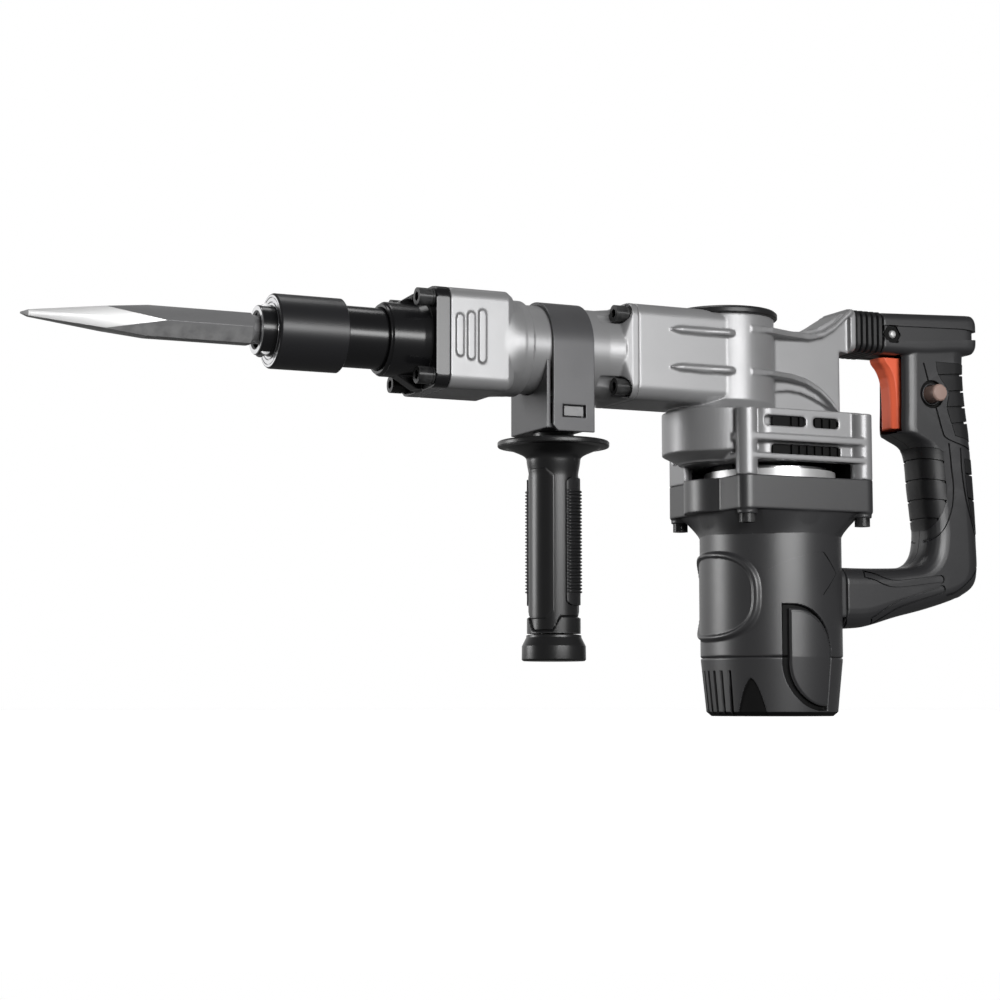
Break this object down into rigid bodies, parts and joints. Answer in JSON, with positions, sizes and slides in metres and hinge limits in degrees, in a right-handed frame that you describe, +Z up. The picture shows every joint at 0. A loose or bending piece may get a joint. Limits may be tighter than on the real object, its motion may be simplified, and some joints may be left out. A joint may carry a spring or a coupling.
{
  "type": "electric jackhammer",
  "caption": "Electric demolition hammer: upright motor, crank-driven barrel with hexagon point chisel, swivelling side handle and D-shaped rear handle.",
  "frame": {"origin": "centre of the motor end cap's flat base", "axes": "+Z up along the motor axis, -X toward the chisel along the barrel, +Y to the tool's right side"},
  "size_m": [0.606, 0.094, 0.254],
  "materials": {
    "chisel_steel": "matt heat-treated tool steel, ground bright at the point",
    "black_steel": "gloss black oxide on machined steel",
    "sleeve_steel": "satin charcoal coated steel",
    "bright_steel": "machined bright steel",
    "spring_steel": "oiled spring steel",
    "cast_aluminium": "fine-grained silver painted casting, satin",
    "clamp_steel": "dark grey coated sheet steel, satin",
    "black_fastener": "black oxide screws and washers",
    "motor_plastic": "dark grey glass-filled plastic, fine grain",
    "handle_plastic": "charcoal moulded plastic, fine grain",
    "grip_rubber": "black soft overmould",
    "side_grip_plastic": "black satin plastic",
    "trigger_plastic": "orange-red satin plastic",
    "button_plastic": "taupe plastic",
    "cap_plastic": "dark grey coated cap",
    "seal_rubber": "black rubber",
    "copper": "copper winding and segments",
    "lamination_steel": "stacked steel laminations",
    "carbon": "carbon brush",
    "brush_brass": "pressed brass",
    "fan_plastic": "black nylon"
  },
  "bodies": {
    "housing": {"tool_holder": "black_steel", "locking_rollers": "bright_steel", "sleeve_spring": "spring_steel", "front_cover": "black_steel", "front_cover_screws": "black_fastener", "front_cover_washers": "black_fastener", "hammer_case": "cast_aluminium", "hammer_case_screws": "black_fastener", "hammer_case_washers": "black_fastener", "cylinder_liner": "bright_steel", "stop_ring": "bright_steel", "damper_ring": "seal_rubber", "crank_bearings": "bright_steel", "gearcase": "cast_aluminium", "crank_cap": "cap_plastic", "bearing_plate": "bright_steel", "armature_bearings": "bright_steel", "stator_core": "lamination_steel", "field_coils": "copper", "brush_holders": "brush_brass", "carbon_brushes": "carbon", "brush_covers": "motor_plastic", "motor_housing": "motor_plastic", "motor_flange_screws": "black_fastener", "motor_end_cap": "motor_plastic", "end_cap_screws": "black_fastener", "rear_handle_left": "handle_plastic", "rear_handle_right": "handle_plastic", "grip_front_pad": "grip_rubber", "grip_rear_pads": "grip_rubber", "rubber_boot": "grip_rubber", "handle_bolt": "bright_steel", "handle_screws": "black_fastener", "switch_body": "fan_plastic", "cord_gland": "seal_rubber"},
    "chisel": {"chisel": "chisel_steel"},
    "sleeve": {"retainer_sleeve": "sleeve_steel"},
    "side_clamp": {"clamp_strap": "clamp_steel", "handle_bracket": "clamp_steel", "clamp_nut": "clamp_steel"},
    "side_grip": {"side_grip": "side_grip_plastic", "side_grip_pads": "grip_rubber", "side_grip_cap": "side_grip_plastic", "clamp_stud": "bright_steel"},
    "trigger": {"trigger": "trigger_plastic"},
    "lock_button": {"lock_button": "button_plastic"},
    "armature": {"armature_shaft": "bright_steel", "armature_core": "lamination_steel", "commutator": "copper", "cooling_fan": "fan_plastic"},
    "crank": {"crankshaft": "bright_steel", "crank_gear": "bright_steel"},
    "rod": {"connecting_rod": "bright_steel", "wrist_pin": "bright_steel"},
    "piston": {"piston": "bright_steel", "piston_seal": "seal_rubber"},
    "ram": {"ram": "bright_steel", "ram_seal": "seal_rubber"},
    "impact_bolt": {"impact_bolt": "bright_steel"}
  },
  "joints": [
    {"name": "chisel_slide", "type": "slide", "parent": "housing", "child": "chisel", "axis": [-1, 0, 0], "range_m": [0, 0.018]},
    {"name": "sleeve_pull", "type": "slide", "parent": "housing", "child": "sleeve", "axis": [1, 0, 0], "range_m": [0, 0.008], "stiffness_N_per_m": 600, "springref_m": -0.005, "deforming": ["sleeve_spring"]},
    {"name": "side_handle_swivel", "type": "hinge", "parent": "housing", "child": "side_clamp", "pos_m": [-0.1467, 0, 0.2135], "axis": [1, 0, 0], "continuous": true},
    {"name": "side_grip_turn", "type": "hinge", "parent": "side_clamp", "child": "side_grip", "pos_m": [-0.1467, 0, 0.1], "axis": [0, 0, 1], "range_deg": [0, 180]},
    {"name": "trigger_pull", "type": "hinge", "parent": "housing", "child": "trigger", "pos_m": [0.095, 0, 0.2205], "axis": [0, -1, 0], "range_deg": [0, 7], "stiffness_Nm_per_rad": 1.5, "springref_deg": -5.73},
    {"name": "lock_button_press", "type": "slide", "parent": "housing", "child": "lock_button", "axis": [0, 1, 0], "range_m": [0, 0.0025], "stiffness_N_per_m": 800, "springref_m": -0.002},
    {"name": "armature_spin", "type": "hinge", "parent": "housing", "child": "armature", "pos_m": [0, 0, 0.09], "axis": [0, 0, 1], "continuous": true},
    {"name": "crank_spin", "type": "hinge", "parent": "housing", "child": "crank", "pos_m": [-0.032, 0, 0.1935], "axis": [0, 0, 1], "continuous": true},
    {"name": "rod_big_end", "type": "hinge", "parent": "crank", "child": "rod", "pos_m": [-0.023, 0, 0.2135], "axis": [0, 0, 1], "continuous": true},
    {"name": "piston_slide", "type": "slide", "parent": "housing", "child": "piston", "axis": [-1, 0, 0], "range_m": [0, 0.018]},
    {"name": "ram_slide", "type": "slide", "parent": "housing", "child": "ram", "axis": [1, 0, 0], "range_m": [0, 0.016]},
    {"name": "impact_bolt_slide", "type": "slide", "parent": "housing", "child": "impact_bolt", "axis": [1, 0, 0], "range_m": [0, 0.003]}
  ],
  "couplings": [
    {"joint": "crank_spin", "follows": "armature_spin", "ratio": -0.18519},
    {"joint": "rod_big_end", "follows": "armature_spin", "ratio": 0.18519}
  ]
}
